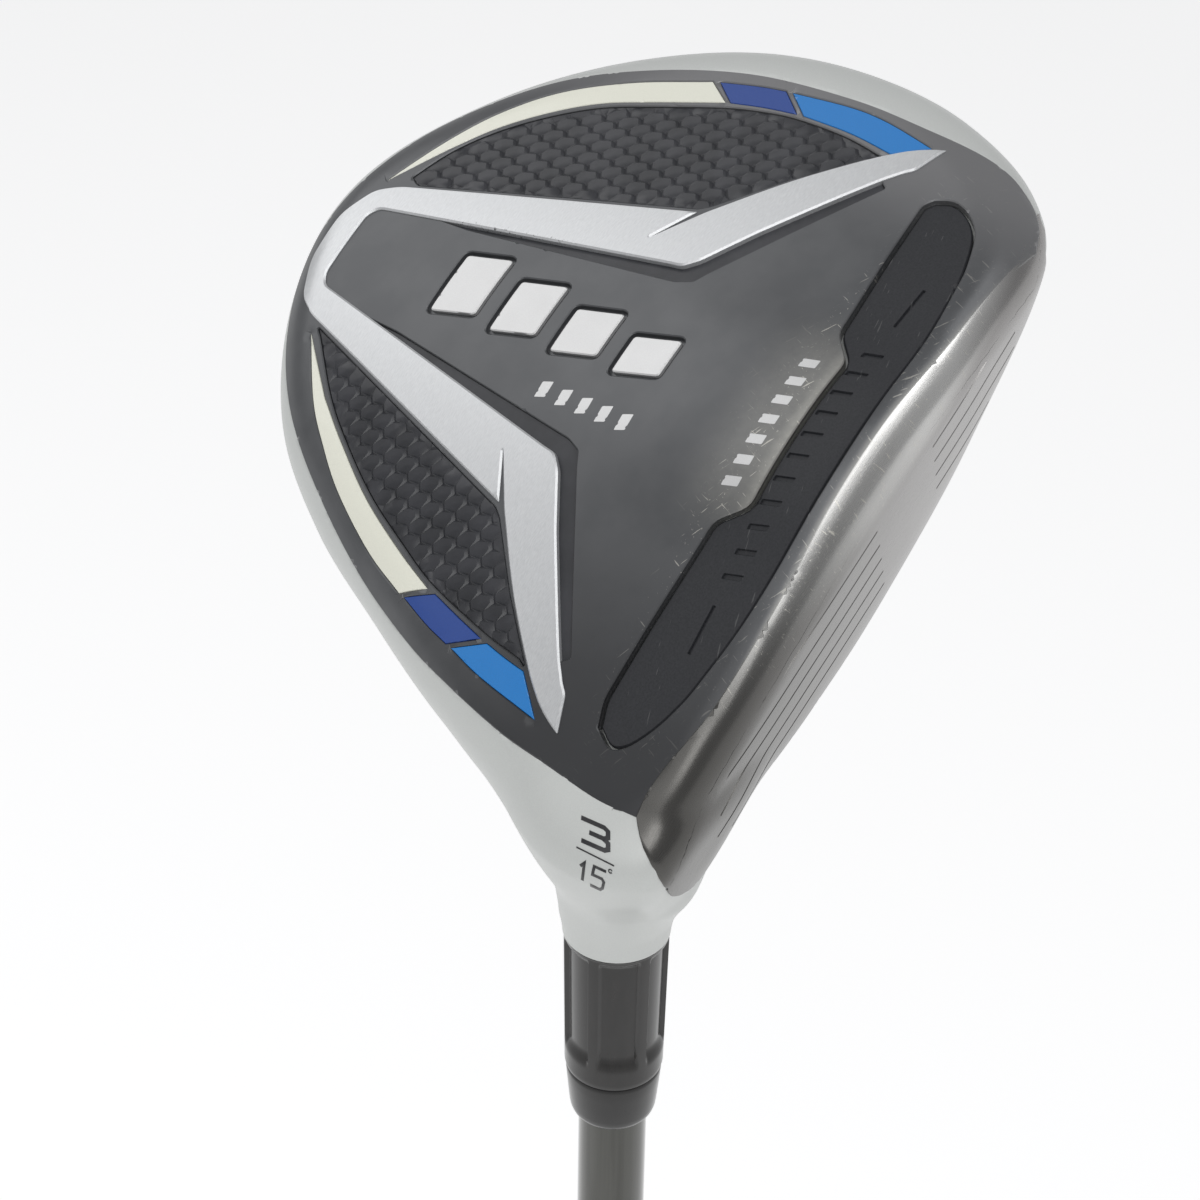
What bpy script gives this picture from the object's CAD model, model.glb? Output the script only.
import math

import bmesh
import bpy
import numpy as np
from mathutils import Matrix, Vector
from mathutils.geometry import delaunay_2d_cdt


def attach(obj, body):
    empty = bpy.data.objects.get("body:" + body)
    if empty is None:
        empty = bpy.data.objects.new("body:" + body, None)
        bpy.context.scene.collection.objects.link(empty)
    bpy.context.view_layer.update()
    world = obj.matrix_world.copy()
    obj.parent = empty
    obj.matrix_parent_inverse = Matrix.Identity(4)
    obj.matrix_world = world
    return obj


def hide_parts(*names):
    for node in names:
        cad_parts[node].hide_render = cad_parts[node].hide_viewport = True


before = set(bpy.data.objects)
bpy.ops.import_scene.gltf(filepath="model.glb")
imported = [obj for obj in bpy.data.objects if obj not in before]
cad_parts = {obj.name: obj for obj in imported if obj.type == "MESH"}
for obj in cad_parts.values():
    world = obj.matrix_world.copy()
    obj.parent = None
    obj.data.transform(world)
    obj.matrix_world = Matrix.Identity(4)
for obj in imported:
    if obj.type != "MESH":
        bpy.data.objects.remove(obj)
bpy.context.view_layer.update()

# Head shape. Lengths are millimetres in the head's address frame: x heel to toe, y forward, z up.
CLUB_LENGTH = 1098.5
LIE = math.radians(58.0)
LOFT = math.radians(15.0)
CENTRE = np.array([33.0, -28.0])
HEAD_OUTLINE = [
    (33, 17), (54, 16), (68, 13), (78, 4.5), (84, -8), (86.5, -23), (85, -39), (77.5, -55.5),
    (62, -71.5), (44, -79.5), (26, -77.5), (9.5, -68.5), (-0.5, -55.5), (-7.5, -41), (-14, -25.5),
    (-19, -10), (-21, 3), (-17, 12.5), (-4, 15.5), (14, 16.7),
]
FACE_Y = 16.0
FACE_Z = 4.0
SKIRT_HEIGHT = 4.5
CROWN_PEAK = 38.5
SOLE_CAMBER = 0.22
CAMBER_WIDTH = 12.0
SOLE_RISE = math.radians(4.8)
ROLL_START = 8.5
ROLL_WIDTH = 11.0
ROLL_HEIGHT = 9.0
ROLL_POWER = 2.3
KEEL_DEPTH = 0.8
KEEL_HALF_WIDTH = 13.0
VEE_CENTRE = 33.0
SLOT_CENTRE = 30.5
SLOT_HALF = 39.0
HOSEL_R = 6.6
HOSEL_END = 40.7
HOSEL_LEAN = 0.18
FLARE = 2.3
FLARE_LENGTH = 19.0
FLARE_POWER = 1.35
COLLAR_LENGTH = 21.8
COLLAR_R = 6.42
RING_LENGTH = 7.8
CROWN_ROUND = 5.0
FACE_ROUND = 6.0
SOLE_ROUND = 3.0
HOSEL_ROUND = 7.0
HOSEL_FOOT_X = -16.0
CROWN_INSET = 3.6
CROWN_HOSEL_GAP = 19.0
SHAFT_TIP_R = 4.26
SHAFT_BUTT_R = 7.6
SHAFT_TIP_DEPTH = 19.0
SHAFT_PARALLEL = 76.0
TAPER_END = 275.0

TO_ROW = np.array([
    [math.sin(LIE), 0, math.cos(LIE)],
    [0, -1, 0],
    [math.cos(LIE), 0, -math.sin(LIE)],
])
UP_SHAFT = np.array([-math.cos(LIE), 0, math.sin(LIE)])


# ---- outline helpers ----
def polar(x, y):
    dx = x - CENTRE[0]
    dy = y - CENTRE[1]
    return np.arctan2(dy, dx) % math.tau, np.hypot(dx, dy)


def hermite(s, a, b, slope_a, slope_b):
    """Cubic from a to b."""
    return ((2 * s**3 - 3 * s**2 + 1) * a + (s**3 - 2 * s**2 + s) * slope_a
            + (3 * s**2 - 2 * s**3) * b + (s**3 - s**2) * slope_b)


def radius_table(points):
    """Radius against angle of a smooth closed curve through the points, about the head's centre."""
    angle, radius = polar(*np.array(points, float).T)
    order = np.argsort(angle)
    angle, radius = angle[order], radius[order]
    ext_a = np.concatenate([angle[-2:] - math.tau, angle, angle[:3] + math.tau])
    ext_r = np.concatenate([radius[-2:], radius, radius[:3]])
    t = np.linspace(0, math.tau, 2881)
    i = np.clip(np.searchsorted(ext_a, t, side="right") - 1, 1, len(angle) + 2)
    span = ext_a[i + 1] - ext_a[i]
    m0 = (ext_r[i + 1] - ext_r[i - 1]) / (ext_a[i + 1] - ext_a[i - 1])
    m1 = (ext_r[i + 2] - ext_r[i]) / (ext_a[i + 2] - ext_a[i])
    return t, hermite((t - ext_a[i]) / span, ext_r[i], ext_r[i + 1], m0 * span, m1 * span)


def open_curve(points, step=0.5):
    """Smooth curve through the points, without its last point."""
    p = np.array(points, float)
    p = np.vstack([2 * p[0] - p[1], p, 2 * p[-1] - p[-2]])
    out = []
    for before, a, b, after in zip(p, p[1:], p[2:], p[3:]):
        n = max(2, int(np.linalg.norm(b - a) / step))
        s = (np.arange(n) / n)[:, None]
        out.append(hermite(s, a, b, (b - before) * 0.5, (after - a) * 0.5))
    return np.vstack(out)


def divided(p, step=0.6, closed=True):
    """A polygon or an open run divided to about one step, without an open run's last point."""
    out = []
    for a, b in zip(p, np.roll(p, -1, axis=0) if closed else p[1:]):
        length = np.linalg.norm(b - a)
        if length > 1e-4:
            k = max(1, int(round(length / step)))
            out += [a + (b - a) * j / k for j in range(k)]
    return np.array(out)


def arc(before, corner, after, radius, at=(0.0, 0.25, 0.5, 0.75, 1.0)):
    """Points that round a corner."""
    back, ahead = before - corner, after - corner
    lb, la = np.linalg.norm(back), np.linalg.norm(ahead)
    cut = min(radius, 0.4 * lb, 0.4 * la)
    a = corner + back / lb * cut
    b = corner + ahead / la * cut
    return [(1 - s) ** 2 * a + 2 * s * (1 - s) * corner + s * s * b for s in at]


def rounded(points, radius=0.5, step=0.6):
    """Closed polygon with its corners rounded."""
    p = np.array(points, float)
    sizes = radius if isinstance(radius, list) else [radius] * len(p)
    corners = zip(np.roll(p, 1, axis=0), p, np.roll(p, -1, axis=0), sizes)
    return divided(np.array([q for corner in corners for q in arc(*corner)]), step)


def open_part(points, radius, step):
    """An open run of straight lines with rounded corners, without its last point."""
    p = np.array(points, float)
    out = [p[0]]
    for corner in zip(p, p[1:], p[2:]):
        out += arc(*corner, radius, (0.0, 0.33, 0.67, 1.0))
    return divided(np.array([*out, p[-1]]), step, closed=False)


def signed_area(p):
    x, y = p.T
    return 0.5 * np.sum(x * np.roll(y, -1) - y * np.roll(x, -1))


def left_turning(p):
    """The outline, turned round if it runs clockwise."""
    return p if signed_area(p) > 0 else p[::-1]


def grown(p, amount):
    """Outline moved outwards by amount, or inwards if it is negative."""
    p = left_turning(p)
    tangent = np.roll(p, -1, axis=0) - np.roll(p, 1, axis=0)
    tangent /= np.maximum(np.linalg.norm(tangent, axis=1), 1e-9)[:, None]
    return p + amount * np.stack([tangent[:, 1], -tangent[:, 0]], axis=1)


def inside(p, outline):
    """Which of the points lie inside the closed outline."""
    x, y = p[:, 0][:, None], p[:, 1][:, None]
    x0, y0 = outline.T
    x1, y1 = np.roll(x0, -1), np.roll(y0, -1)
    crosses = (y0[None] > y) != (y1[None] > y)
    slope = (x1 - x0) / np.where(y1 == y0, 1e-12, y1 - y0)
    at = x0[None] + (y - y0[None]) * slope[None]
    return (crosses & (x < at)).sum(axis=1) % 2 == 1


def within(p, outline, holes):
    """Which of the points lie inside the outline and in none of its holes."""
    keep = inside(p, outline)
    for hole in holes:
        keep &= ~inside(p, hole)
    return keep


def edge_distance(p, loops):
    """Distance from each point to the nearest of some outlines."""
    best = np.full(len(p), 1e9)
    for a in loops:
        ab = np.roll(a, -1, axis=0) - a
        length2 = np.maximum((ab**2).sum(axis=1), 1e-12)
        for start in range(0, len(p), 4000):
            ap = p[start:start + 4000, None] - a[None]
            t = np.clip((ap * ab[None]).sum(axis=2) / length2, 0, 1)
            gap = np.linalg.norm(ap - t[..., None] * ab[None], axis=2).min(axis=1)
            best[start:start + 4000] = np.minimum(best[start:start + 4000], gap)
    return best


def smooth(value):
    value = np.clip(value, 0, 1)
    return value * value * (3 - 2 * value)


# ---- surfaces ----
RIM_ANGLE, RIM_RADIUS = radius_table(HEAD_OUTLINE)


def rim_radius(angle):
    return np.interp(angle, RIM_ANGLE, RIM_RADIUS)


def sole_z(x, y):
    x, y = np.asarray(x, float), np.asarray(y, float)
    angle, radius = polar(x, y)
    across = x - VEE_CENTRE
    camber = SOLE_CAMBER * (np.hypot(across, CAMBER_WIDTH) - CAMBER_WIDTH)
    behind = -12.0 - y
    rise = math.tan(SOLE_RISE) * 0.5 * (behind + np.hypot(behind, 6.0))
    s = np.maximum(radius - rim_radius(angle) + ROLL_START, 0) / ROLL_WIDTH
    roll = ROLL_HEIGHT * np.where(s < 1, s**ROLL_POWER, 1 + ROLL_POWER * (s - 1))
    keel = np.exp(-(np.abs(across) / KEEL_HALF_WIDTH) ** 4) * smooth((y + 30) / 25)
    lip = 0.033 * np.maximum(y - 8.5, 0) ** 2
    return camber + rise + roll - KEEL_DEPTH * keel + lip


def crown_z(x, y):
    angle, radius = polar(x, y)
    rim = rim_radius(angle)
    edge = sole_z(CENTRE[0] + rim * np.cos(angle), CENTRE[1] + rim * np.sin(angle)) + SKIRT_HEIGHT
    front = 0.35 + 0.65 * smooth((y + 25) / 30)
    peak = CROWN_PEAK - 0.008 * (x - 20) ** 2 * front - 0.3 * np.maximum(0.0, -30 - y)
    power = 5.0 + 4.0 * smooth((y + 15) / 20)
    ratio = radius / rim
    fall = np.where(ratio < 1, ratio**power, 1 + power * (ratio - 1))
    return edge + (np.maximum(peak, edge + 2) - edge) * (1 - np.minimum(fall, 1.8))


def round_max(a, b, k):
    """The larger of two, with the crease between them rounded over a width of k."""
    near = np.maximum(k - np.abs(a - b), 0) / k
    return np.maximum(a, b) + near * near * k * 0.25


def round_min(a, b, k):
    near = np.maximum(k - np.abs(a - b), 0) / k
    return np.minimum(a, b) - near * near * k * 0.25


def sloped(height, x, y):
    """Height, its slopes along x and y, and the factor that turns a height gap into a distance."""
    gx = (height(x + 0.3, y) - height(x - 0.3, y)) / 0.6
    gy = (height(x, y + 0.3) - height(x, y - 0.3)) / 0.6
    return height(x, y), gx, gy, 1 / np.sqrt(1 + gx * gx + gy * gy)


def head_field(p, seats=True):
    """Signed distance, roughly, to the painted head: negative inside."""
    x, y, z = p.T
    angle, radius = polar(x, y)
    rim = rim_radius(angle)
    low, _, _, low_scale = sloped(sole_z, x, y)
    high, _, _, high_scale = sloped(crown_z, x, y)
    if seats:
        # Sunk under the sole plate, and under the crown panel from just inside its edge.
        low = low + 1.3 * smooth((np.interp(angle, SOLE_ANGLE, SOLE_RADIUS) - radius - 0.2) / 0.8)
        open_top = np.minimum(rim - radius - CROWN_INSET - 0.8, -CROWN_INSET - 0.2 - y)
        from_hosel = np.hypot(x - HOSEL_FOOT_X, y)
        open_top = np.minimum(open_top, from_hosel - CROWN_HOSEL_GAP - 0.8)
        high = high - 0.5 * smooth(open_top / 1.2)
    high_scale = np.maximum(high_scale, smooth((radius - rim + 1.5) / 3.0))
    bottom = (low - z) * low_scale
    top = (z - high) * high_scale
    face = (y - FACE_Y) * math.cos(LOFT) + (z - FACE_Z) * math.sin(LOFT)
    body = round_max(top, radius - rim, CROWN_ROUND)
    body = round_max(body, face, FACE_ROUND)
    body = round_max(body, bottom, SOLE_ROUND)
    along = p @ UP_SHAFT
    sideways = p - along[:, None] * UP_SHAFT
    sideways[:, 1] -= HOSEL_LEAN * np.clip(HOSEL_END - 3 - along, 0, 18)
    off_axis = np.linalg.norm(sideways, axis=1)
    down = np.clip(HOSEL_END - along, 0, FLARE_LENGTH)
    flare = HOSEL_R + FLARE * (down / 10) ** FLARE_POWER
    hosel = round_max((off_axis - flare) * 0.9, 17 - along, HOSEL_ROUND)
    both = round_min(body, hosel, 2 + 6 * smooth((along - 10) / 12))
    both = round_max(both, face - 4 * smooth((along - 30) / 6), 2.5)
    return np.maximum(both, along - HOSEL_END - 1.5) + 0.05


def painted(p):
    """The head's field with no seats sunk into it."""
    return head_field(p, False)


def gradient(field, p):
    slope = np.empty_like(p)
    for axis in range(3):
        step = np.zeros(3)
        step[axis] = 0.05
        slope[:, axis] = (field(p + step) - field(p - step)) / 0.1
    return slope


def settle(p, field, rounds=6, reach=0.4):
    """Moves points along the field's slope until they lie on its surface."""
    p = p.copy()
    for _ in range(rounds):
        slope = gradient(field, p)
        size2 = np.maximum((slope**2).sum(axis=1), 0.05)
        move = -(field(p) / size2)[:, None] * slope
        length = np.linalg.norm(move, axis=1)
        p += move * np.minimum(1, reach / np.maximum(length, 1e-9))[:, None]
    return p


def surface_net(field, low, high, cell):
    """Quads around the field's zero surface, one vertex for each cell that the surface crosses."""
    axes = [np.arange(a, b + cell, cell) for a, b in zip(low, high)]
    grid = np.stack(np.meshgrid(*axes, indexing="ij"), axis=-1)
    within = np.empty(grid.shape[:3], bool)
    for i in range(grid.shape[0]):
        slab = grid[i].reshape(-1, 3)
        within[i] = (field(slab) < 0).reshape(grid.shape[1:3])
    corners = sum(
        within[i:within.shape[0] - 1 + i, j:within.shape[1] - 1 + j, k:within.shape[2] - 1 + k]
        .astype(np.int8)
        for i in (0, 1) for j in (0, 1) for k in (0, 1)
    )
    mixed = (corners > 0) & (corners < 8)
    index = np.full(mixed.shape, -1)
    index[mixed] = np.arange(mixed.sum())
    verts = np.array(low) + (np.argwhere(mixed) + 0.5) * cell
    faces = []
    for axis in range(3):
        u, v = [a for a in range(3) if a != axis]
        first = np.take(within, range(within.shape[axis] - 1), axis=axis)
        second = np.take(within, range(1, within.shape[axis]), axis=axis)
        at = np.argwhere(first != second)
        leaving = first[tuple(at.T)]
        quad = []
        for du, dv in ((0, 0), (-1, 0), (-1, -1), (0, -1)):
            cell_at = at.copy()
            cell_at[:, u] += du
            cell_at[:, v] += dv
            quad.append(index[tuple(cell_at.T)])
        quad = np.stack(quad, axis=1)
        flip = leaving if axis != 1 else ~leaving
        quad[~flip] = quad[~flip][:, ::-1]
        faces.append(quad)
    return settle(verts, field, rounds=7, reach=0.3), np.vstack(faces)


def cut_square(verts, faces, point, direction):
    """The part of a surface behind a plane, closed with a flat face."""
    mesh = bmesh.new()
    made = [mesh.verts.new(v) for v in verts.tolist()]
    for face in faces.tolist():
        mesh.faces.new([made[i] for i in face])
    everything = mesh.verts[:] + mesh.edges[:] + mesh.faces[:]
    cut = bmesh.ops.bisect_plane(mesh, geom=everything, plane_co=tuple(point),
                                 plane_no=tuple(direction), clear_outer=True)
    rim = [e for e in cut["geom_cut"] if isinstance(e, bmesh.types.BMEdge)]
    bmesh.ops.contextual_create(mesh, geom=rim)
    mesh.verts.index_update()
    verts = np.array([v.co[:] for v in mesh.verts])
    faces = [tuple(v.index for v in f.verts) for f in mesh.faces]
    mesh.free()
    return verts, faces


# ---- making pieces ----
def piece(name, verts, faces, material, nodes=None, sharp=35.0):
    """A shown piece from points in millimetres in the row frame; it stands for its namesake."""
    mesh = bpy.data.meshes.new(name)
    mesh.from_pydata([tuple(v) for v in (verts * 0.001).tolist()], [], faces)
    mesh.validate()
    mesh.update()
    mesh.polygons.foreach_set("use_smooth", [True] * len(mesh.polygons))
    mesh.set_sharp_from_angle(angle=math.radians(sharp))
    obj = bpy.data.objects.new(name, mesh)
    bpy.context.scene.collection.objects.link(obj)
    mesh.materials.append(material)
    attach(obj, "root")
    nodes = (name,) if nodes is None else nodes
    if nodes:
        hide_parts(*nodes)


def head_piece(name, mesh, material, nodes=None, sharp=35.0):
    """A shown piece from points in the head's address frame."""
    verts, faces = mesh
    verts = verts @ TO_ROW.T + np.array([0, 0, CLUB_LENGTH])
    piece(name, verts, [tuple(f) for f in faces], material, nodes, sharp)


def triangulated(loops, fill):
    """Constrained Delaunay triangles over some loops and filling points."""
    points, edges = [], []
    for loop in loops:
        start = len(points)
        n = len(loop)
        points += [Vector((float(a), float(b))) for a, b in loop]
        edges += [(start + i, start + (i + 1) % n) for i in range(n)]
    points += [Vector((float(a), float(b))) for a, b in fill]
    out, _, tris, origin, _, _ = delaunay_2d_cdt(points, edges, [], 0, 1e-5)
    where = {}
    for new, olds in enumerate(origin):
        for old in olds:
            where[old] = new
    return np.array([(v.x, v.y) for v in out]), [tuple(t) for t in tris], where


def patch(outline, lift, wall, holes=(), marks=(), step=1.2, bevel=0.12, relief=None,
          surface=None, hole_wall=0.7, fill=None):
    """A sheet over a surface, cut to an outline, with rounded edges, side walls and marks.

    surface(points, rise) gives the 3-D place of flat points raised off the surface by rise.
    lift is how far the sheet stands off it, and wall how deep its sides go below the lifted
    level. A mark is an outline and how far its floor is sunk, or raised if negative.
    """
    surface = surface or on_sole
    outline = left_turning(outline)
    marks = [(left_turning(mark), sink) for mark, sink in marks]
    holes = [left_turning(hole)[::-1] for hole in holes]
    cuts = [outline, *holes]
    loops = list(cuts)
    for mark, _ in marks:
        loops += [mark, grown(mark, -0.12)]
    if fill is None:
        low = outline.min(axis=0) + 0.37 * step
        high = outline.max(axis=0)
        rows = np.arange(low[1], high[1], step * 0.87)
        fill = np.array([
            (x, y) for j, y in enumerate(rows)
            for x in np.arange(low[0] + (j % 2) * step * 0.5, high[0], step)
        ])
    fill = fill[within(fill, outline, holes)]
    fill = fill[edge_distance(fill, loops) > max(bevel * 2.2, step * 0.35)]
    rings = np.vstack([grown(outline, -bevel), *[grown(hole, bevel) for hole in holes]])
    rings = rings[within(rings, outline, holes)]
    rings = rings[edge_distance(rings, cuts) > bevel * 0.7]
    flat, tris, where = triangulated(loops, np.vstack([fill, rings]))
    middle = np.array([flat[list(t)].mean(axis=0) for t in tris])
    faces = [t for t, keep in zip(tris, within(middle, outline, holes)) if keep]
    gap = edge_distance(flat, cuts)
    rise = lift - bevel * np.clip(1 - gap / bevel, 0, 1) ** 2
    if relief is not None:
        rise += relief(flat) * smooth(gap / 0.8)
    for mark, sink in marks:
        rise[inside(flat, grown(mark, -0.06))] -= sink
    verts = surface(flat, rise)
    total = len(verts)
    start = 0
    extra = []
    for number, loop in enumerate(cuts):
        n = len(loop)
        ids = [where[start + i] for i in range(n)]
        depth = wall if number == 0 else hole_wall
        extra.append(surface(flat[ids], np.full(n, lift - depth)))
        for i in range(n):
            j = (i + 1) % n
            faces.append((ids[i], total + i, total + j, ids[j]))
        total += n
        start += n
    return np.vstack([verts, *extra]), faces


def on_sole(p, rise):
    """Points on the sole, raised towards the ground along the surface's slope."""
    x, y = p.T
    z, gx, gy, scale = sloped(sole_z, x, y)
    normal = np.stack([gx, gy, -np.ones_like(gx)], axis=1) * scale[:, None]
    return np.stack([x, y, z], axis=1) + normal * np.asarray(rise)[:, None]


def on_crown(p, rise):
    x, y = p.T
    return np.stack([x, y, crown_z(x, y) + rise], axis=1)


def joined(*parts):
    """Several (verts, faces) pairs as one."""
    verts, faces, start = [], [], 0
    for v, f in parts:
        verts.append(v)
        faces += [tuple(i + start for i in face) for face in f]
        start += len(v)
    return np.vstack(verts), faces


def turned_piece(name, profile, around, material, radius=None, nodes=None):
    """A surface of revolution about Z from (radius, height) points, shaped by radius()."""
    profile = np.array(profile, float)
    angle = np.arange(around) * math.tau / around
    r = np.repeat(profile[:, 0][:, None], around, axis=1)
    h = np.repeat(profile[:, 1][:, None], around, axis=1)
    if radius is not None:
        r = radius(r, np.broadcast_to(angle, r.shape), h)
    verts = np.stack([r * np.cos(angle), r * np.sin(angle), h], axis=-1).reshape(-1, 3)
    faces = []
    for low in range(0, len(verts) - around, around):
        high = low + around
        for j in range(around):
            k = (j + 1) % around
            faces.append((low + j, low + k, high + k, high + j))
    piece(name, verts, faces, material, nodes)


# ---- outlines on the sole ----
SOLE_SIDE = [
    (-13.8, 8.3), (-14.3, 3), (-13.5, -5), (-12.7, -12.5), (-10.6, -22.4), (-7.7, -32.5),
    (-2.1, -45.4), (7.2, -60.2), (15.5, -69), (24.6, -74.3), (34, -76.3), (44, -75.3),
    (55.2, -71.2), (65.8, -62.3), (72.5, -51), (77.2, -37.1), (78.5, -22.2), (78, -10),
    (77.6, 0), (75.6, 5.2), (72.6, 8.8), (68.5, 11.2),
]
SOLE_FRONT = [(68.5, 11.2), (50, 11.9), (30, 12.0), (10, 11.8), (-4, 10.1), (-13.8, 8.3)]
SOLE = np.vstack([open_curve(SOLE_SIDE, 0.8), open_curve(SOLE_FRONT, 0.8)])
SOLE_ANGLE, SOLE_RADIUS = polar(*SOLE.T)
_order = np.argsort(SOLE_ANGLE)
SOLE_ANGLE, SOLE_RADIUS = SOLE_ANGLE[_order], SOLE_RADIUS[_order]
SOLE_ANGLE = np.concatenate([[0.0], SOLE_ANGLE, [math.tau]])
SOLE_RADIUS = np.concatenate([SOLE_RADIUS[:1], SOLE_RADIUS, SOLE_RADIUS[:1]])


def slot_outline():
    left, right, mid = SLOT_CENTRE - SLOT_HALF, SLOT_CENTRE + SLOT_HALF, VEE_CENTRE
    rear = open_part([
        (left + 1.4, -1.5), (left + 4.5, -2.5), (left + 14, -1.9), (mid - 13.6, -0.7),
        (mid - 10.4, 2.7), (mid + 10.4, 2.7), (mid + 13.6, -0.7), (right - 12, -2.2),
        (right - 2.2, -3.3), (right - 0.9, -2.4),
    ], 1.1, 0.6)
    front = open_curve([
        (right - 0.9, -2.4), (right - 0.1, -0.2), (right - 0.9, 2.4), (right - 3.2, 4.9),
        (right - 7.2, 6.7), (right - 11, 7.7), (SLOT_CENTRE + 18, 9.2), (SLOT_CENTRE, 9.9),
        (SLOT_CENTRE - 18, 9.1), (left + 11, 7.5), (left + 7, 6.4), (left + 3.6, 4.9),
        (left + 0.9, 3.0), (left, 1.0), (left + 1.4, -1.5),
    ], 0.6)
    return np.vstack([rear, front])


ARM_OUTER = [(10.2, -68.6), (21.9, -28.3)]
SLIT_END = (16.0, -31.5)
BLADE_OUTER = [(22.3, -27.2), (31, -20), (38.8, -12.2), (41.6, -8.4), (42.8, -5.7)]
BLADE_INNER = [(38.4, -7.2), (35.4, -9.9), (22, -19), (15.6, -22.9), (13.9, -24.6)]
ARM_INNER = [(13.7, -26.2), (6.1, -69)]
BACK_OUTER = [(8.4, -71.6), (3.5, -73.9)]
BACK_INNER = [(4.6, -70.0)]
STEP_BAND = [
    (7.6, -66), (14.9, -26.2), (15.3, -24.9), (16.6, -23.7), (22.6, -20.0), (36.0, -10.9),
    (34.6, -8.9), (20.6, -17.2), (14.4, -20.9), (12.6, -21.8), (11.7, -24), (8, -55),
]
PANEL_ARM = [(37.8, -14.0), (31, -20.8), (23.6, -27.3), (22.6, -28.6), (11.4, -66.6)]
PANEL_OUTER = [
    [(45.2, -68.3), (51, -66), (56.3, -62.3), (61, -57.4), (64.7, -52.1), (67.4, -45.9),
     (70.9, -36.6), (72.3, -31), (72.9, -26), (72.7, -18.6), (71.6, -11.9)],
    [(20.8, -65.6), (14.6, -59.4), (10.4, -53.9), (5.6, -46.2), (1.8, -38), (-0.9, -31.2),
     (-3.2, -21.6), (-4.2, -15.2)],
]
# Each stripe is its outer run and its inner run, joined by straight ends.
STRIPES = {
    "cream_stripes": [
        ([(43.4, -71.4), (52.3, -68.0), (59, -64.4), (65, -59), (70, -51), (74.2, -40.9)],
         [(71.8, -37), (68.1, -46.5), (65.3, -52.8), (61.4, -58.2), (56.5, -63.1), (51, -66.9)]),
        ([(20.6, -67.2), (13, -61.4), (8.6, -56.7), (4.2, -51.1), (-0.6, -42.7), (-3.5, -35.4)],
         [(-1.6, -31.8), (1, -38.4), (4.9, -46.6), (9.8, -54.3), (13.9, -60)]),
    ],
    "navy_stripes": [
        ([(74.5, -39.9), (75.8, -34.5), (76.4, -30.7)], [(73.6, -26.9), (73, -31.5), (72, -36.3)]),
        ([(-3.7, -34.4), (-5.4, -29.5), (-6.4, -25.6)],
         [(-4.1, -21.4), (-3, -25.9), (-1.8, -30.4)]),
    ],
    "azure_stripes": [
        ([(76.5, -29.7), (77.2, -21.3), (76.9, -15.5), (75.4, -7.6)],
         [(72.6, -11.7), (73.5, -18.4), (73.7, -25.9)]),
        ([(-6.6, -24.6), (-8.1, -18.8), (-9.6, -9.4)],
         [(-5.3, -13.9), (-4.9, -17), (-4.3, -20.3)]),
    ],
}


def stripe_outline(outer, inner):
    runs = (outer, [outer[-1], inner[0]], inner, [inner[-1], outer[0]])
    return np.vstack([open_curve(run, 0.6) for run in runs])


def mirrored(points):
    toe = [(VEE_CENTRE + x, y) for x, y in points]
    heel = [(VEE_CENTRE - x, y) for x, y in points]
    return toe, heel


def vee_outline():
    """The V frame: rounded at its elbows, with gently curved blades and sharp tips."""
    half = [*BACK_OUTER[::-1], *ARM_OUTER, SLIT_END]
    blade = [tuple(p) for p in open_curve(BLADE_OUTER, 2.0)]
    half += blade + [BLADE_OUTER[-1]]
    radii = [1.5, 1.2, 1.2, 0.2, 0.25] + [0.6] * len(blade) + [0.15]
    back = [tuple(p) for p in open_curve(BLADE_INNER[:3], 2.0)] + BLADE_INNER[2:]
    half += [*back, *ARM_INNER, *BACK_INNER]
    radii += [0.6] * len(back) + [2.0, 2.0, 2.0]
    toe, heel = mirrored(half)
    return rounded(toe + heel[::-1], radii + radii[::-1], 0.7)


def bar(x, y, width, length, lean):
    return [(x, y), (x + width, y), (x + width + lean, y + length), (x + lean, y + length)]


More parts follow.
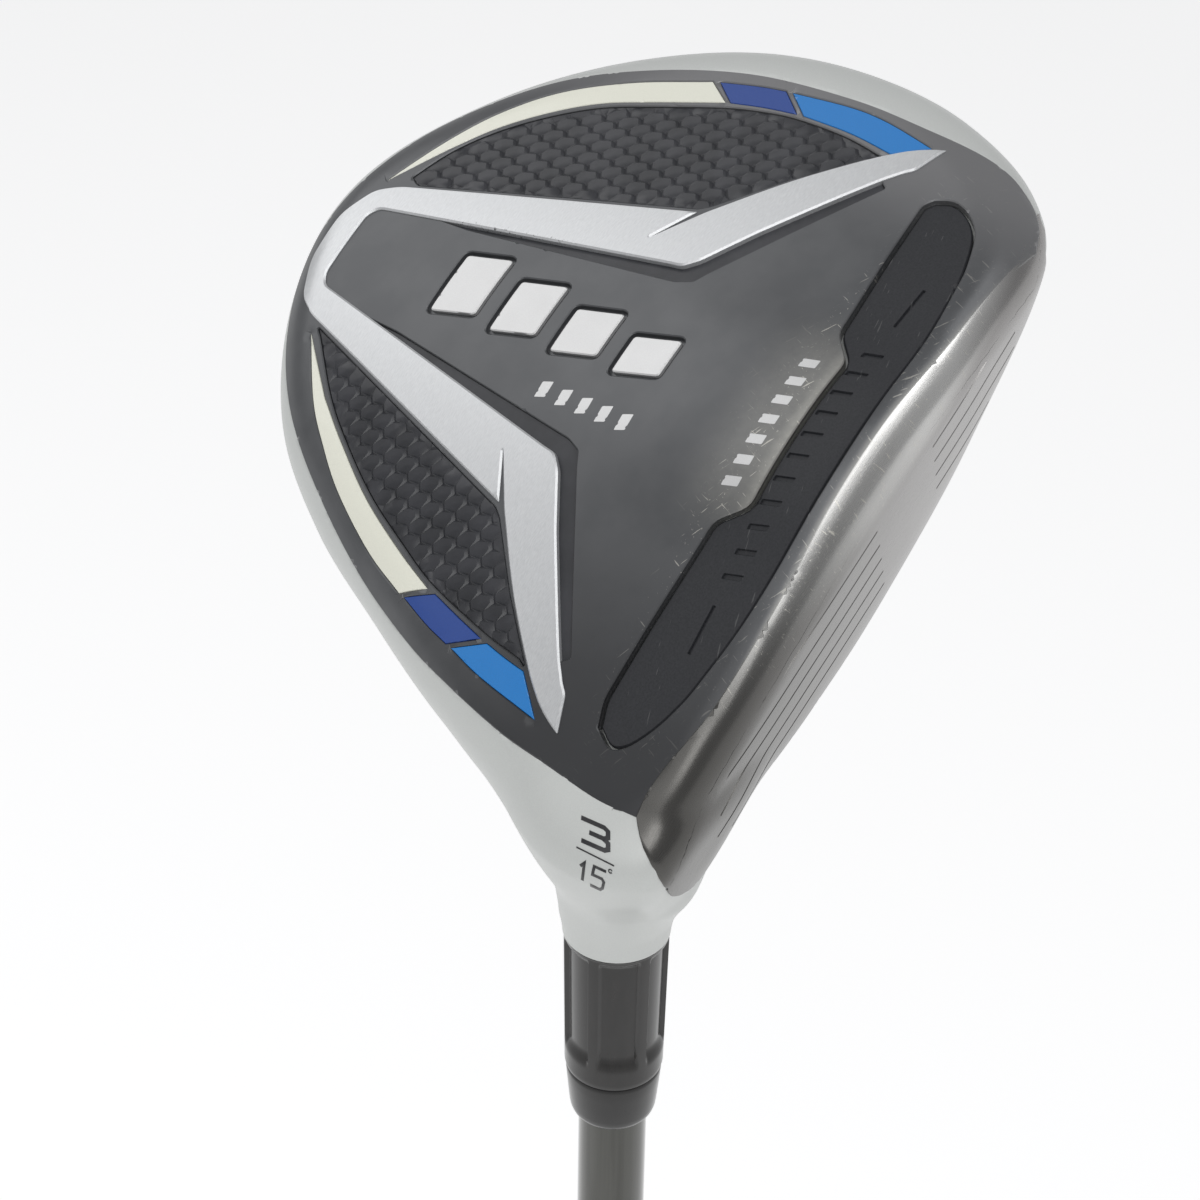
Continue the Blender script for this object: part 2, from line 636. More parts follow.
# ---- materials ----
class Look:
    """Builds one node material."""

    def __init__(self, name, metallic=0.0, coat=0.0, coat_rough=0.05, specular=0.5):
        self.material = bpy.data.materials.new(name)
        self.material.use_nodes = True
        self.nodes = self.material.node_tree.nodes
        self.links = self.material.node_tree.links
        self.use("Metallic", metallic)
        self.use("Coat Weight", coat)
        self.use("Coat Roughness", coat_rough)
        self.use("Specular IOR Level", specular)

    def plug(self, target, value):
        if isinstance(value, bpy.types.NodeSocket):
            self.links.new(value, target)
        else:
            target.default_value = (*value, 1) if target.type == "RGBA" else value

    def use(self, socket, value):
        """Links or sets one of the shader's inputs."""
        self.plug(self.nodes["Principled BSDF"].inputs[socket], value)

    def node(self, kind, inputs, output=0, **settings):
        """An output of a new node, with its settings made and its inputs linked or set."""
        made = self.nodes.new("ShaderNode" + kind)
        for key, value in settings.items():
            setattr(made, key, value)
        for key, value in inputs.items():
            self.plug(made.inputs[key], value)
        return made.outputs[output]

    def math(self, operation, a, b=0.0, clamp=False):
        return self.node("Math", {0: a, 1: b}, operation=operation, use_clamp=clamp)

    def times(self, a, b, clamp=False):
        return self.math("MULTIPLY", a, b, clamp)

    def plus(self, a, b):
        return self.math("ADD", a, b)

    def minus(self, a, b):
        return self.math("SUBTRACT", a, b)

    def larger(self, a, b):
        return self.math("MAXIMUM", a, b)

    def stretched(self, vector, scale):
        return self.node("VectorMath", {0: vector, 1: scale}, operation="MULTIPLY")

    def place(self):
        """Millimetres in the row frame."""
        metres = self.node("TexCoord", {}, "Object")
        return self.node("VectorMath", {0: metres, "Scale": 1000.0}, operation="SCALE")

    def head_place(self):
        """Millimetres in the head's address frame: half a turn about a line between the frames."""
        moved = self.node("VectorMath", {0: self.place(), 1: (0, 0, CLUB_LENGTH)},
                          operation="SUBTRACT")
        half = (math.pi / 2 - LIE) / 2
        axis = (math.cos(half), 0, math.sin(half))
        return self.node("VectorRotate", {"Vector": moved, "Angle": math.pi, "Axis": axis},
                         rotation_type="AXIS_ANGLE")

    def split(self, vector):
        return self.node("SeparateXYZ", {0: vector}).node.outputs

    def noise(self, vector, scale, detail=4.0, rough=0.55):
        return self.node("TexNoise", {"Vector": vector, "Scale": scale, "Detail": detail,
                                      "Roughness": rough}, "Fac")

    def between(self, value, low, high):
        """0 below low, 1 above high, smooth in between."""
        return self.node("MapRange", {"Value": value, "From Min": low, "From Max": high}, "Result",
                         interpolation_type="SMOOTHSTEP")

    def scaled(self, value, low, high):
        """0..1 to low..high."""
        return self.node("MapRange", {"Value": value, "To Min": low, "To Max": high}, "Result")

    def blend(self, amount, first, second):
        """One colour, then the other, as amount goes from 0 to 1."""
        return self.node("Mix", {0: amount, 6: first, 7: second}, 2, data_type="RGBA")

    def tones(self, pattern, low, high, first, second):
        return self.blend(self.between(pattern, low, high), first, second)

    def finish(self, color, rough, height, strength, distance):
        """Wires colour, roughness and bump to the shader, and returns the material."""
        self.use("Base Color", color)
        self.use("Roughness", rough)
        self.use("Normal", self.node("Bump", {"Height": height, "Strength": strength,
                                              "Distance": distance}, "Normal"))
        return self.material


def scratches(look, vector, angle, density, seed=0.0):
    """Thin lines running one way, broken into short strokes: 1 on a scratch."""
    turned = look.node("VectorRotate", {"Vector": vector, "Angle": angle}, rotation_type="Z_AXIS")
    moved = look.node("VectorMath", {0: turned, 1: (seed, seed * 1.7, seed * 0.3)},
                      operation="ADD")
    line = look.noise(look.stretched(moved, (0.45, 5.0, 0.6)), density, detail=2.0, rough=0.5)
    return look.between(line, 0.69, 0.72)


def paint_look(name, color, roughness=0.35, coat=0.5, metallic=0.0, speckle=0.05):
    look = Look(name, metallic, coat, 0.08)
    place = look.place()
    cloud = look.noise(place, 0.35, detail=3.0)
    fine = look.noise(place, 9.0, detail=2.0)
    dark = tuple(c * (1 - speckle) for c in color)
    bright = tuple(min(1.0, c * (1 + speckle)) for c in color)
    return look.finish(look.tones(fine, 0.35, 0.65, dark, bright),
                       look.scaled(cloud, roughness - 0.06, roughness + 0.06), fine, 0.05, 0.00002)


def sole_look():
    """Satin dark grey paint, rubbed down to steel round the keel and in front of the slot."""
    look = Look("sole_grey", coat=0.25, coat_rough=0.25)
    place = look.head_place()
    x, y, _ = look.split(place)
    cloud = look.noise(place, 0.12, detail=3.0)
    fine = look.noise(place, 6.0, detail=3.0)
    edge = look.noise(place, 0.9, detail=6.0, rough=0.7)
    specks = look.between(look.noise(place, 2.8, detail=4.0, rough=0.7), 0.64, 0.70)
    from_keel = look.math("ABSOLUTE", look.minus(x, VEE_CENTRE))
    rear = look.plus(look.times(look.between(y, -9.0, 1.0), 0.55),
                     look.times(look.between(y, 0.8, 2.6), 0.6))
    rear = look.times(rear, look.between(y, 5.0, 3.5))
    keel = look.times(look.between(from_keel, 17.0, 9.0), rear)
    lip = look.times(look.between(y, 10.6, 12.3), look.between(from_keel, 46.0, 22.0))
    rubbed = look.larger(look.times(keel, 0.75), lip)
    ragged = look.times(rubbed, look.scaled(edge, 0.5, 1.35), clamp=True)
    marks = look.larger(scratches(look, place, 1.2, 0.7), scratches(look, place, -0.5, 0.6, 31.0))
    where = look.larger(rubbed, look.times(look.between(y, -5.0, -1.5),
                                           look.between(from_keel, 50.0, 5.0)))
    where = look.times(where, look.scaled(look.between(y, 3.0, 8.0), 1.0, 0.5))
    marks = look.times(look.larger(marks, specks), where)
    paint = look.tones(cloud, 0.3, 0.7, (0.076, 0.079, 0.084), (0.096, 0.099, 0.104))
    heel = look.times(look.between(x, 24.0, -12.0), look.between(y, -34.0, -8.0))
    paint = look.blend(heel, paint, (0.040, 0.041, 0.044))
    paint = look.tones(x, 58.0, 76.0, paint, (0.19, 0.19, 0.195))
    steel = look.blend(ragged, paint, (0.36, 0.355, 0.33))
    look.use("Metallic", look.scaled(ragged, 0.35, 0.95))
    return look.finish(look.blend(look.times(marks, 0.7), steel, (0.62, 0.60, 0.54)),
                       look.plus(look.scaled(cloud, 0.28, 0.37), look.times(fine, 0.06)),
                       look.plus(fine, look.times(marks, -0.8)), 0.10, 0.00003)


def silver_look():
    """Satin silver trim, with a few paint chips along the toe arm's inner edge."""
    look = Look("trim_silver", metallic=0.55, coat=0.3, coat_rough=0.15)
    place = look.head_place()
    x, y, _ = look.split(place)
    grain = look.noise(look.stretched(place, (0.6, 6.0, 2.0)), 2.2, detail=4.0)
    fine = look.noise(place, 12.0, detail=2.0)
    # Distance in from the toe arm's inner edge, a straight line.
    (top_x, top_y), (low_x, low_y) = ARM_INNER
    line = look.plus(look.times(look.minus(y, low_y), (top_x - low_x) / (top_y - low_y)),
                     VEE_CENTRE + low_x)
    near = look.between(look.math("ABSOLUTE", look.minus(x, line)), 0.9, 0.2)
    zone = look.times(look.between(y, -62.0, -56.0), look.between(y, -38.0, -44.0))
    chips = look.between(look.noise(place, 2.8, detail=3.0, rough=0.7), 0.61, 0.65)
    chips = look.times(chips, look.times(zone, near))
    tone = look.tones(grain, 0.3, 0.7, (0.56, 0.57, 0.58), (0.66, 0.67, 0.68))
    return look.finish(look.blend(chips, tone, (0.03, 0.03, 0.035)),
                       look.scaled(grain, 0.28, 0.42),
                       look.plus(fine, look.times(chips, -2.0)), 0.08, 0.00003)


def texture_look():
    look = Look("texture_black", coat=0.2, coat_rough=0.3)
    place = look.head_place()
    cloud = look.noise(place, 0.2, detail=3.0)
    fine = look.noise(place, 5.0, detail=4.0)
    dust = look.between(look.noise(place, 1.6, detail=6.0, rough=0.75), 0.72, 0.76)
    base = look.tones(cloud, 0.3, 0.7, (0.016, 0.017, 0.021), (0.030, 0.031, 0.037))
    return look.finish(look.blend(look.times(dust, 0.4), base, (0.3, 0.3, 0.3)),
                       look.scaled(fine, 0.34, 0.50), fine, 0.15, 0.00004)


def insert_look():
    look = Look("insert_polymer", specular=0.40)
    place = look.head_place()
    fine = look.noise(place, 4.0, detail=5.0, rough=0.65)
    scuff = look.times(scratches(look, place, 0.25, 0.5, 12.0), 0.2)
    base = look.tones(fine, 0.3, 0.7, (0.016, 0.017, 0.020), (0.026, 0.027, 0.031))
    return look.finish(look.blend(scuff, base, (0.25, 0.25, 0.25)),
                       look.scaled(fine, 0.40, 0.56), fine, 0.18, 0.00004)


def face_look():
    """Dark satin steel: brushed face, and a polished lip that is pitted and scratched."""
    look = Look("face_steel", metallic=0.95)
    place = look.head_place()
    x, _, z = look.split(place)
    brushed = look.noise(look.stretched(place, (0.08, 5.0, 5.0)), 2.0, detail=4.0, rough=0.6)
    cloud = look.noise(place, 0.1, detail=3.0)
    pits = look.between(look.noise(place, 2.4, detail=5.0, rough=0.75), 0.61, 0.68)
    lip = look.between(z, 7.5, 3.0)
    middle = look.between(look.math("ABSOLUTE", look.minus(x, 36.0)), 42.0, 18.0)
    marks = look.larger(scratches(look, place, 1.5, 0.9, 5.0),
                        scratches(look, place, 1.1, 0.8, 17.0))
    marks = look.times(look.larger(pits, marks), look.times(lip, middle))
    toe = look.between(x, -10.0, 55.0)
    face = look.blend(toe, (0.11, 0.107, 0.102), (0.36, 0.35, 0.345))
    polished = look.blend(toe, (0.05, 0.049, 0.046), (0.78, 0.775, 0.76))
    tone = look.blend(lip, face, polished)
    tone = look.blend(look.scaled(cloud, 0.0, 0.25), tone, (0.10, 0.10, 0.095))
    return look.finish(look.blend(look.times(marks, 0.8), tone, (0.66, 0.64, 0.58)),
                       look.plus(look.scaled(brushed, 0.20, 0.34), look.times(marks, 0.15)),
                       look.plus(brushed, look.times(marks, -1.0)), 0.10, 0.00003)


def crown_look():
    """Glossy clear coat over a fine twill weave."""
    look = Look("crown_carbon", coat=1.0, coat_rough=0.03)
    x, y, _ = look.split(look.head_place())
    weave = look.times(look.math("SINE", look.times(look.plus(x, y), 2.2)),
                       look.math("SINE", look.times(look.minus(x, y), 2.2)))
    weave = look.between(weave, -0.25, 0.25)
    return look.finish(look.blend(weave, (0.010, 0.010, 0.012), (0.035, 0.035, 0.039)),
                       look.scaled(weave, 0.28, 0.44), weave, 0.08, 0.00003)


def shaft_look():
    """Gun-metal gloss with very faint lengthwise streaks."""
    look = Look("shaft_gloss", metallic=0.8, coat=0.6, coat_rough=0.03)
    place = look.place()
    streak = look.noise(look.stretched(place, (1.0, 1.0, 0.02)), 1.4, detail=3.0)
    flake = look.noise(place, 8.0, detail=2.0)
    return look.finish(look.tones(streak, 0.3, 0.7, (0.050, 0.050, 0.044), (0.070, 0.070, 0.063)),
                       look.scaled(flake, 0.10, 0.18), flake, 0.02, 0.00001)


def plastic_look(name, color, roughness, coat):
    look = Look(name, coat=coat, coat_rough=0.06, specular=0.35)
    place = look.place()
    fine = look.noise(place, 3.0, detail=5.0, rough=0.6)
    scuff = look.noise(look.stretched(place, (1.0, 1.0, 0.25)), 1.2, detail=4.0)
    return look.finish(look.tones(scuff, 0.35, 0.7, color, tuple(c * 1.3 for c in color)),
                       look.scaled(fine, roughness - 0.07, roughness + 0.08), fine, 0.04, 0.00002)


def rubber_look():
    look = Look("grip_rubber", specular=0.35)
    place = look.place()
    fine = look.noise(place, 4.0, detail=6.0, rough=0.7)
    worn = look.noise(place, 0.08, detail=3.0)
    return look.finish(look.tones(worn, 0.35, 0.7, (0.018, 0.018, 0.019), (0.032, 0.032, 0.032)),
                       look.scaled(fine, 0.62, 0.84), fine, 0.35, 0.00006)


WHITE = paint_look("pearl_white", (0.56, 0.575, 0.56), roughness=0.40, coat=0.08, metallic=0.1,
                   speckle=0.03)
SOLE_GREY = sole_look()
SILVER = silver_look()
BLACK_TEXTURE = texture_look()
INSERT = insert_look()
FACE = face_look()
CROWN = crown_look()
SHAFT = shaft_look()
COLLAR = plastic_look("ferrule_collar", (0.014, 0.0132, 0.0125), 0.22, 0.25)
RING = plastic_look("ferrule_ring", (0.009, 0.0087, 0.0083), 0.18, 0.25)
RUBBER = rubber_look()
CREAM = paint_look("stripe_cream", (0.78, 0.78, 0.68), speckle=0.02)
NAVY = paint_look("stripe_navy", (0.012, 0.055, 0.27), speckle=0.04)
AZURE = paint_look("stripe_azure", (0.008, 0.19, 0.55), speckle=0.04)
BADGE = paint_look("badge_silver", (0.62, 0.62, 0.62), metallic=0.4, speckle=0.03)
INK = paint_look("number_ink", (0.012, 0.012, 0.014), roughness=0.4, speckle=0.1)
GRIP_PAINT = paint_look("grip_paint", (0.55, 0.55, 0.55), roughness=0.6, coat=0.0)

# ---- head ----
CELL = 0.6
verts, faces = surface_net(head_field, (-31, -84, -2), (91, 21, 45), CELL)
mesh = cut_square(verts, faces, UP_SHAFT * HOSEL_END, UP_SHAFT)
head_piece("head_body", mesh, WHITE,
           ("head_body", "crown_bond", "weight_pad", "shaft_epoxy", "tip_plug"), 60.0)

panels = []
for side in (0, 1):
    outer = open_curve(PANEL_OUTER[side], 0.6)
    arm = mirrored(PANEL_ARM)[side]
    panels.append(np.vstack([outer, open_part([PANEL_OUTER[side][-1], *arm,
                                               PANEL_OUTER[side][0]], 0.4, 0.6)]))
stripes = {
    name: [stripe_outline(*runs) for runs in pair] for name, pair in STRIPES.items()
}
steps = [rounded(mirrored(STEP_BAND)[side], 0.4, 0.7) for side in (0, 1)]
badge = [bar(29.2 + 0.5 * i, -52.5 + 9.6 * i, 8.6 - 1.1 * i, 6.4, 1.6) for i in range(4)]
badge = [rounded(outline, 0.5, 0.5) for outline in badge]
small_marks = [rounded(bar(24.2, -31.5 + 3.2 * i, 2.2, 1.5, 0.5), 0.2, 0.5) for i in range(5)]
keel_ticks = [rounded(bar(23.4 + 2.8 * i, -2.0, 1.3, 2.1, 0.6), 0.2, 0.5) for i in range(7)]

SLOT = slot_outline()
plate_holes = [SLOT, *[grown(o, 0.10) for o in panels], *steps, *[grown(o, 0.55) for o in badge]]
plate_holes += [grown(o, 0.06) for group in stripes.values() for o in group]
top = patch(SOLE, 0.08, 0.9, holes=plate_holes, step=1.0, bevel=0.14)
floor = patch(grown(SOLE, -0.8), -0.62, 0.2, holes=[SLOT], step=1.8, bevel=0.05, hole_wall=0.6)
head_piece("sole_plate", joined(top, floor), SOLE_GREY)

mesh = joined(*[patch(grown(o, -0.05), -0.40, 0.2, step=1.2, bevel=0.05) for o in steps])
head_piece("sole_steps", mesh, BLACK_TEXTURE, ())

mesh = patch(vee_outline(), 0.42, 0.9, step=1.0, bevel=0.22)
head_piece("vee_trim", mesh, SILVER)


HEX_WIDE = 3.3
HEX_TALL = 1.95
HEX_HEIGHT = 0.30
HEX_TURN = math.radians(55)
HEX_AXES = np.array([[math.cos(HEX_TURN), math.sin(HEX_TURN)],
                     [-math.sin(HEX_TURN), math.cos(HEX_TURN)]])


def hex_points(outline):
    """Points along a honeycomb's grooves and round its scales' flat tops, over an outline."""
    unit = [(0.0, 0.0)]
    for k in range(6):
        corner = math.pi / 6 + k * math.pi / 3
        unit.append((0.44 * math.cos(corner), 0.44 * math.sin(corner)))
    for k in range(3):
        side = k * math.pi / 3
        for t in (-0.22, 0.22, 0.2887):
            unit.append((0.5 * math.cos(side) - t * math.sin(side),
                         0.5 * math.sin(side) + t * math.cos(side)))
    unit = np.array(unit)
    flat = outline @ HEX_AXES.T / (HEX_WIDE, HEX_TALL)
    low, high = np.floor(flat.min(axis=0)) - 1, flat.max(axis=0) + 1
    points = []
    for shift in (0.0, 0.5):
        for row in np.arange(low[1] / 1.732, high[1] / 1.732) // 1 + shift:
            for col in np.arange(low[0], high[0]) + shift:
                points.append(unit + (col, row * 1.732))
    return (np.vstack(points) * (HEX_WIDE, HEX_TALL)) @ HEX_AXES


def hex_relief(p):
    """Scales with flat tops, sloping a little to one side, between narrow grooves."""
    x, y = (p @ HEX_AXES.T / (HEX_WIDE, HEX_TALL)).T
    best = np.full(len(p), 9.0)
    lean = np.zeros(len(p))
    for shift in (0.0, 0.5):
        row = np.round(y / 1.732 - shift) + shift
        col = np.round(x - shift) + shift
        dx, dy = x - col, y - row * 1.732
        far = np.maximum(np.abs(dx), np.abs(dx) * 0.5 + np.abs(dy) * 0.866)
        lean = np.where(far < best, dy, lean)
        best = np.minimum(best, far)
    return HEX_HEIGHT * (smooth((0.5 - best) / 0.1) - 0.7 - 0.5 * lean)


for name, outline in zip(("toe_texture_panel", "heel_texture_panel"), panels):
    mesh = patch(outline, -0.16, 0.5, step=0.8, bevel=0.05, relief=hex_relief,
                 fill=hex_points(outline))
    head_piece(name, mesh, BLACK_TEXTURE)


def inlays(name, outlines, material, slot, lift, wall, step=0.9, bevel=0.08):
    """Several patches on the sole as one piece."""
    mesh = joined(*[patch(o, lift, wall, step=step, bevel=bevel) for o in outlines])
    head_piece(name, mesh, material)


for name, material in (("cream_stripes", CREAM), ("navy_stripes", NAVY), ("azure_stripes", AZURE)):
    inlays(name, stripes[name], material, "stripe_" + name.split("_")[0], 0.0, 0.4)
inlays("sole_emblem", badge, BADGE, "emblem_silver", 0.02, 0.6, bevel=0.15)
inlays("sole_marks", small_marks, BADGE, "emblem_silver", 0.10, 0.2, 0.6, 0.05)
inlays("keel_marks", keel_ticks, BADGE, "emblem_silver", 0.10, 0.2, 0.6, 0.05)

engraved = [rounded(bar(14.0 + 3.1 * i, 3.4, 0.75, 2.5, 0.7), 0.15, 0.4) for i in range(11)]
engraved += [rounded(bar(x, 4.1, 6.2, 0.45, 0.0), 0.15, 0.4) for x in (4.8, 50.5)]
mesh = patch(grown(SLOT, -0.28), -0.45, 2.0, step=0.9, bevel=0.2,
             marks=[(o, 0.3) for o in engraved])
head_piece("slot_insert", mesh, INSERT)


# ---- face cup ----
def on_front(p, rise):
    """x across, v up the face from the leading edge, or back along the sole if negative."""
    x, v = p.T
    up = np.maximum(v, 0)
    back = np.maximum(-v, 0)
    corner = 0.85 * np.maximum(x - 66, 0) * np.clip((v + 8.6) / 8, 0, 1)
    y = FACE_Y - up * math.sin(LOFT) - back - corner
    z = FACE_Z + up * math.cos(LOFT)
    low = sole_z(x, y)
    z = np.where(v < 0, low, np.maximum(z, low))
    start = np.stack([x, y, z], axis=1)
    settled = settle(start, painted, rounds=10, reach=0.6)
    slope = gradient(painted, settled)
    slope /= np.maximum(np.linalg.norm(slope, axis=1), 1e-9)[:, None]
    return settled + slope * np.asarray(rise)[:, None]


FACE_EDGE = [
    (-13.7, -7.9), (-15.2, -6.8), (-16.8, -5.5), (-17.9, -4.1), (-18.1, 0.2), (-18.25, 6.6),
    (-18.0, 14.8), (-17.2, 18.2), (-16.0, 20.5), (-14.4, 22.9), (-12.4, 24.2), (-9.6, 24.8),
    (-5.0, 25.5), (0.0, 26.5), (8.5, 28.2), (14.5, 29.1), (24, 29.9), (31, 29),
    (43, 25.7), (54.7, 21.6), (62.6, 17.0), (68.2, 11.6), (71.6, 6), (73.6, 1), (74.8, -4),
    (75.4, -8.6),
]
FACE_BACK = [(75.4, -8.6), (72.4, -6.6), (68.2, -5.3), (50, -4.7), (30, -4.6), (12, -4.8),
             (1.9, -5.4), (-3.6, -6.4), (-7.2, -7.3), (-10.9, -7.9), (-13.7, -7.9)]
cup = np.vstack([open_curve(FACE_EDGE, 0.8), open_curve(FACE_BACK, 0.8)])
score_lines = []
for height, heel, toe in ((8.8, -2, 60), (13, -5, 60), (17.2, -7.3, 60), (21.4, -8.8, 54),
                          (25.6, -6, 44)):
    v = (height - FACE_Z) / math.cos(LOFT)
    for x0, x1 in ((heel, 29), (41, toe)):
        if x1 - x0 > 4:
            score_lines.append(rounded(bar(x0, v - 0.25, x1 - x0, 0.5, 0.0), 0.2, 0.9))
mesh = patch(cup, 0.22, 0.6, marks=[(o, 0.22) for o in score_lines], step=0.9, bevel=0.1,
             surface=on_front)
head_piece("face_cup", mesh, FACE)

# ---- number on the heel ----
NUMBER_AT = np.array([-17.7, 4.0, 10.8])
NUMBER_ACROSS = np.array([0.315, 0.921, -0.218])
NUMBER_UP = np.array([0.58, -0.372, -0.725])
NUMBER_OUT = np.array([-0.16, 0.47, -0.868])


def on_heel(p, rise):
    """Flat points laid on the heel by moving them straight along one direction."""
    at = NUMBER_AT + p[:, :1] * NUMBER_ACROSS + p[:, 1:] * NUMBER_UP
    for _ in range(14):
        slope = painted(at + NUMBER_OUT * 0.05) - painted(at - NUMBER_OUT * 0.05)
        move = painted(at) / np.maximum(slope / 0.1, 0.2)
        at = at - np.clip(move, -1, 1)[:, None] * NUMBER_OUT
    return at + np.asarray(rise)[:, None] * NUMBER_OUT


def stroke(points, width):
    """Outline of a pen stroke with square ends."""
    p = np.array(points, float)
    ahead = np.diff(p, axis=0)
    ahead /= np.linalg.norm(ahead, axis=1)[:, None]
    side = np.stack([-ahead[:, 1], ahead[:, 0]], axis=1)
    bends = side[:-1] + side[1:]
    bends = bends / np.maximum(1e-6, (bends**2).sum(axis=1))[:, None] * 2
    out = np.vstack([side[:1], bends, side[-1:]]) * width / 2
    return divided(np.vstack([p + out, (p - out)[::-1]]), 0.4)


def slanted(points, corner, across, up):
    """Points of a unit square moved into a leaning one."""
    return [(corner[0] + u * across[0] + v * up[0], corner[1] + u * across[1] + v * up[1])
            for u, v in points]


THREE_TOP = [(0, 1), (0.86, 1), (1, 0.9), (1, 0.62), (0.86, 0.5), (0.3, 0.5)]
THREE_BOTTOM = [(0.8, 0.5), (1, 0.38), (1, 0.1), (0.86, 0), (0, 0)]
FIVE = [(1, 1), (0, 1), (0, 0.56), (0.8, 0.56), (1, 0.44), (1, 0.12), (0.84, 0), (0, 0)]
ONE = [(0, 0.75), (0.5, 1), (0.5, 0)]
DOT = [(math.cos(k * math.pi / 4), math.sin(k * math.pi / 4)) for k in range(8)]
big = ((-2.1, -0.3), (3.4, -1.3), (0.7, 2.85))
glyphs = [
    (slanted(THREE_TOP, *big), 0.62),
    (slanted(THREE_BOTTOM, *big), 0.62),
    ([(-3.0, -1.2), (1.7, -3.3)], 0.22),
    (slanted(ONE, (-3.7, -5.2), (0.9, -0.35), (0.85, 2.2)), 0.38),
    (slanted(FIVE, (-2.3, -5.9), (1.5, -0.6), (1.2, 2.4)), 0.38),
    (slanted(DOT, (1.0, -4.0), (0.24, 0), (0, 0.24)), 0.16),
]
mesh = joined(*[patch(stroke(points, width), 0.06, 0.2, step=0.5, bevel=0.03, surface=on_heel)
                for points, width in glyphs])
head_piece("club_number", mesh, INK, ())

# ---- crown panel ----
crown = []
for angle in np.arange(180) * math.tau / 180:
    direction = np.array([math.cos(angle), math.sin(angle)])
    reach = np.arange(5.0, rim_radius(angle) - CROWN_INSET, 0.1)
    points = CENTRE + reach[:, None] * direction
    from_hosel = np.hypot(points[:, 0] - HOSEL_FOOT_X, points[:, 1])
    clear = (points[:, 1] < -CROWN_INSET) & (from_hosel > CROWN_HOSEL_GAP)
    crown.append(points[clear][-1])
crown = divided(np.array(crown), 1.0)
mesh = patch(crown, 0.0, 0.5, step=1.6, bevel=0.15, surface=on_crown)
head_piece("crown_panel", mesh, CROWN)

# ---- shaft, ferrule and grip ----
hosel_end = CLUB_LENGTH - HOSEL_END
collar_low = hosel_end - COLLAR_LENGTH
ring_low = collar_low - RING_LENGTH


def flutes(r, angle, h):
    """Six long sunk panels round the collar, with soft ends."""
    along = smooth((h - collar_low - 3.0) / 2.2) * smooth((hosel_end - 0.7 - h) / 0.8)
    turn = ((angle - math.radians(13)) * 6 / math.tau) % 1.0
    across = smooth((0.5 - np.abs(turn - 0.5) - 0.09) / 0.06)
    outer = r > COLLAR_R - 0.5
    return r - 0.62 * along * across * outer


heights = np.linspace(collar_low, hosel_end, 74)
profile = [(4.3, collar_low), (5.75, collar_low), (6.02, collar_low + 0.15)]
profile += [(6.1 + 0.3 * (h - collar_low) / COLLAR_LENGTH, h) for h in heights[2:-1]]
profile += [(COLLAR_R, hosel_end - 0.25), (COLLAR_R - 0.25, hosel_end - 0.02),
            (4.3, hosel_end - 0.02)]
turned_piece("ferrule_collar", profile, 240, COLLAR, flutes)

profile = [
    (4.3, ring_low), (4.7, ring_low), (4.95, ring_low + 0.12), (5.2, ring_low + 0.45),
    (5.36, ring_low + 0.95), (5.46, ring_low + 1.6), (5.62, ring_low + 3.4),
    (5.78, ring_low + 5.2), (5.92, ring_low + 7.0), (5.9, ring_low + 7.5), (5.72, ring_low + 7.75),
    (4.3, ring_low + 7.75),
]
turned_piece("ferrule_ring", profile, 160, RING)

tip = CLUB_LENGTH - SHAFT_TIP_DEPTH
taper = tip - SHAFT_PARALLEL
profile = [(SHAFT_TIP_R, h) for h in np.linspace(tip, taper, 8)]
profile += [(SHAFT_TIP_R + (SHAFT_BUTT_R - SHAFT_TIP_R) * (taper - h) / (taper - TAPER_END), h)
            for h in np.linspace(taper, TAPER_END, 60)[1:]]
profile += [(SHAFT_BUTT_R, h) for h in (200, 100, 8)]
turned_piece("shaft", profile[::-1], 96, SHAFT)

GRIP_LOW, GRIP_HIGH = 8.0, 269.0


def grip_radius(h):
    return np.interp(h, [GRIP_LOW, 12, 17, 68, 211, 268, 269],
                     [14.1, 13.6, 13.2, 12.7, 9.7, 8.95, 8.6])


def grip_pattern(r, angle, h):
    """Rows of short slanted grooves, with plain bands left at the mark and the ends."""
    u = angle * 24 / math.tau
    v = h / 3.0
    cell = np.abs((u + v * 0.5) % 1.0 - 0.5) + np.abs((v) % 1.0 - 0.5)
    groove = smooth((cell - 0.62) / 0.12)
    plain = smooth((h - 18) / 4) * smooth((262 - h) / 4) * smooth((np.abs(h - 88) - 6) / 2)
    return r - 0.28 * groove * plain


heights = np.linspace(GRIP_LOW, GRIP_HIGH, 620)
profile = [(grip_radius(h), h) for h in heights]
profile = [(7.9, GRIP_LOW), *profile, (7.7, GRIP_HIGH)]
turned_piece("grip_sleeve", profile, 240, RUBBER, grip_pattern,
             ("grip_sleeve", "grip_tape"))
profile = [(grip_radius(86.4) - 0.1, 86.4), (grip_radius(86.6) + 0.02, 86.6),
           (grip_radius(89.4) + 0.02, 89.4), (grip_radius(89.6) - 0.1, 89.6)]
turned_piece("grip_mark", profile, 160, GRIP_PAINT)

profile = [
    (2.0, 4.0), (2.0, 0.3), (2.3, 0.0), (6.0, 0.0), (6.4, 0.35), (7.6, 0.35), (8.0, 0.0),
    (12.2, 0.0), (13.6, 0.4), (14.7, 1.3), (15.3, 2.6), (15.4, 3.6), (15.4, 5.0), (15.0, 6.2),
    (14.3, 7.4), (13.8, 8.0), (7.9, 8.0),
]
turned_piece("grip_end_cap", profile, 160, RUBBER)

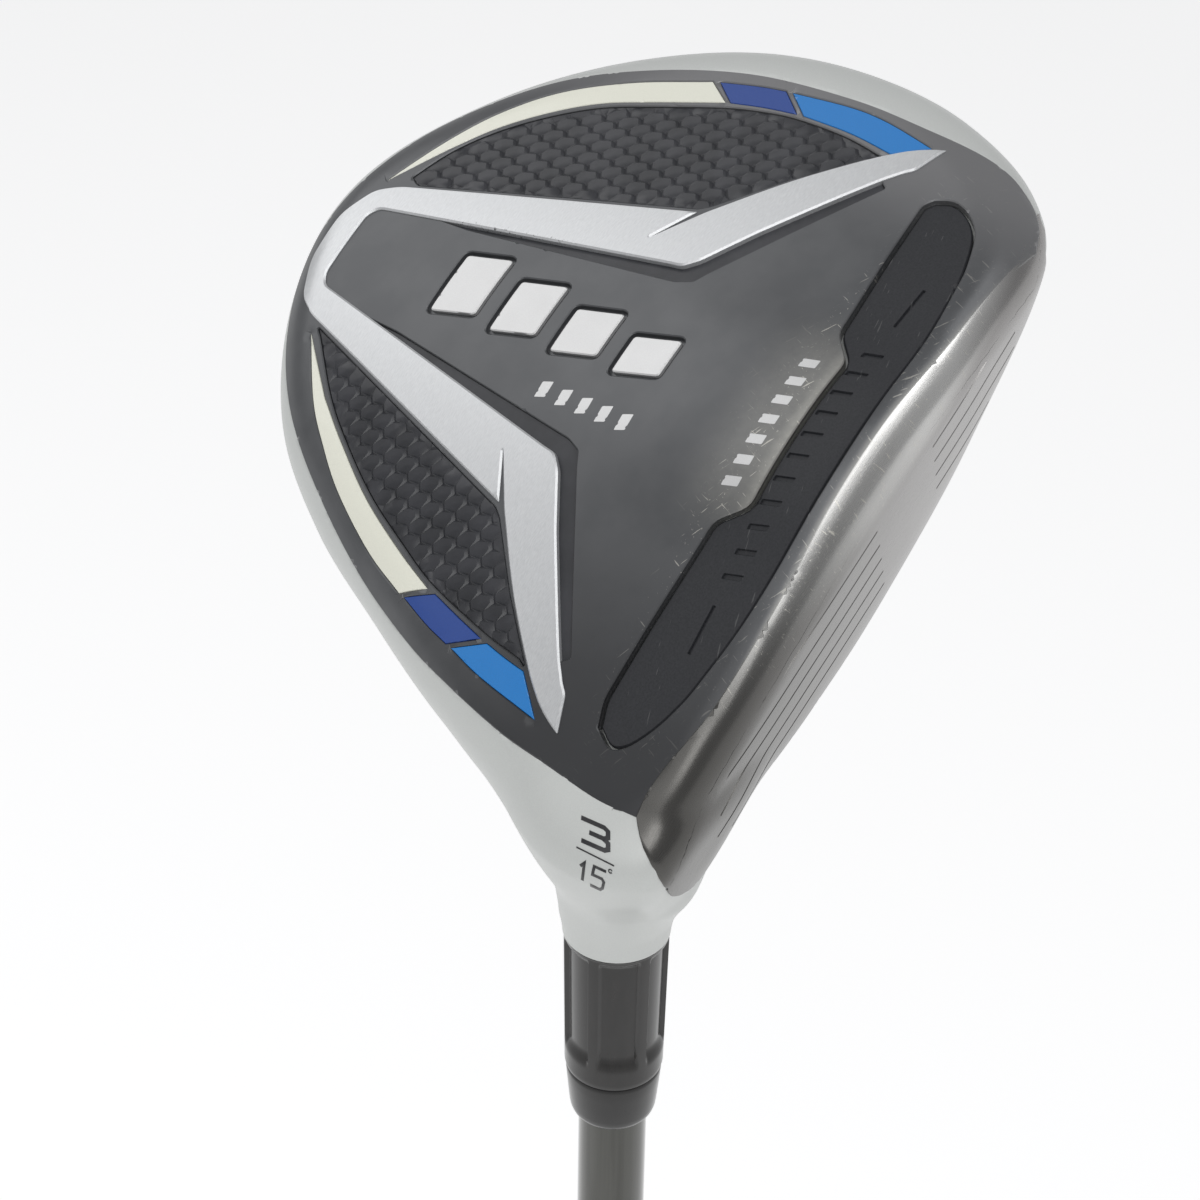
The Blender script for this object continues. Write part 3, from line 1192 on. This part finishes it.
# ---- studio ----
floor_look = Look("studio_floor")
floor_look.use("Base Color", (0.92, 0.92, 0.92))
fine = floor_look.noise(floor_look.place(), 0.02)
floor_look.use("Roughness", floor_look.scaled(fine, 0.75, 0.85))
floor_look.use("Emission Color", (1, 1, 1))
floor_look.use("Emission Strength", 0.45)
mesh = bpy.data.meshes.new("floor")
mesh.from_pydata([(-30, -30, 0), (30, -30, 0), (30, 30, 0), (-30, 30, 0)], [], [(0, 1, 2, 3)])
mesh.materials.append(floor_look.material)
floor = bpy.data.objects.new("floor", mesh)
bpy.context.scene.collection.objects.link(floor)

world = bpy.data.worlds.new("studio")
world.use_nodes = True
world.node_tree.nodes["Background"].inputs["Color"].default_value = (0.98, 0.985, 1.0, 1)
world.node_tree.nodes["Background"].inputs["Strength"].default_value = 0.38
bpy.context.scene.world = world
bpy.context.scene.view_settings.view_transform = "Standard"

HEAD_AT = Vector((0.03, 0.03, 1.10))


def area_light(name, way, distance, size, power, along=(1, 0, 0)):
    """A flat light that faces the head from the given way, its long side lying along a line."""
    data = bpy.data.lights.new(name, "AREA")
    data.shape = "RECTANGLE"
    data.size, data.size_y = size
    data.energy = power
    back = Vector(way).normalized()
    side = (Vector(along) - back * back.dot(Vector(along))).normalized()
    obj = bpy.data.objects.new(name, data)
    obj.matrix_world = Matrix.Translation(HEAD_AT + back * distance) @ Matrix(
        (side, back.cross(side), back)).transposed().to_4x4()
    bpy.context.scene.collection.objects.link(obj)


area_light("softbox", (-0.68, -0.21, 0.71), 2.55, (2.2, 2.2), 12)
area_light("rear_box", (-0.10, 0.74, 0.66), 2.0, (1.5, 1.5), 9)
area_light("lip_strip", (-0.17, -0.47, 0.86), 1.6, (2.2, 0.7), 11, (0.848, 0, 0.53))

# ---- camera ----
camera_data = bpy.data.cameras.new("camera")
camera_data.lens = 99.02
camera_data.sensor_width = 36.0
camera = bpy.data.objects.new("camera", camera_data)
right = Vector((0.63253482, -0.77440612, 0.01395939))
up = Vector((0.45433733, 0.38557859, 0.80306085))
back = Vector((-0.62727768, -0.50162168, 0.5957335))
camera.matrix_world = Matrix.Translation((-0.23207, -0.18215, 1.32531)) @ Matrix(
    (right, up, back)).transposed().to_4x4()
camera_data.clip_start = 0.01
bpy.context.scene.collection.objects.link(camera)
bpy.context.scene.camera = camera
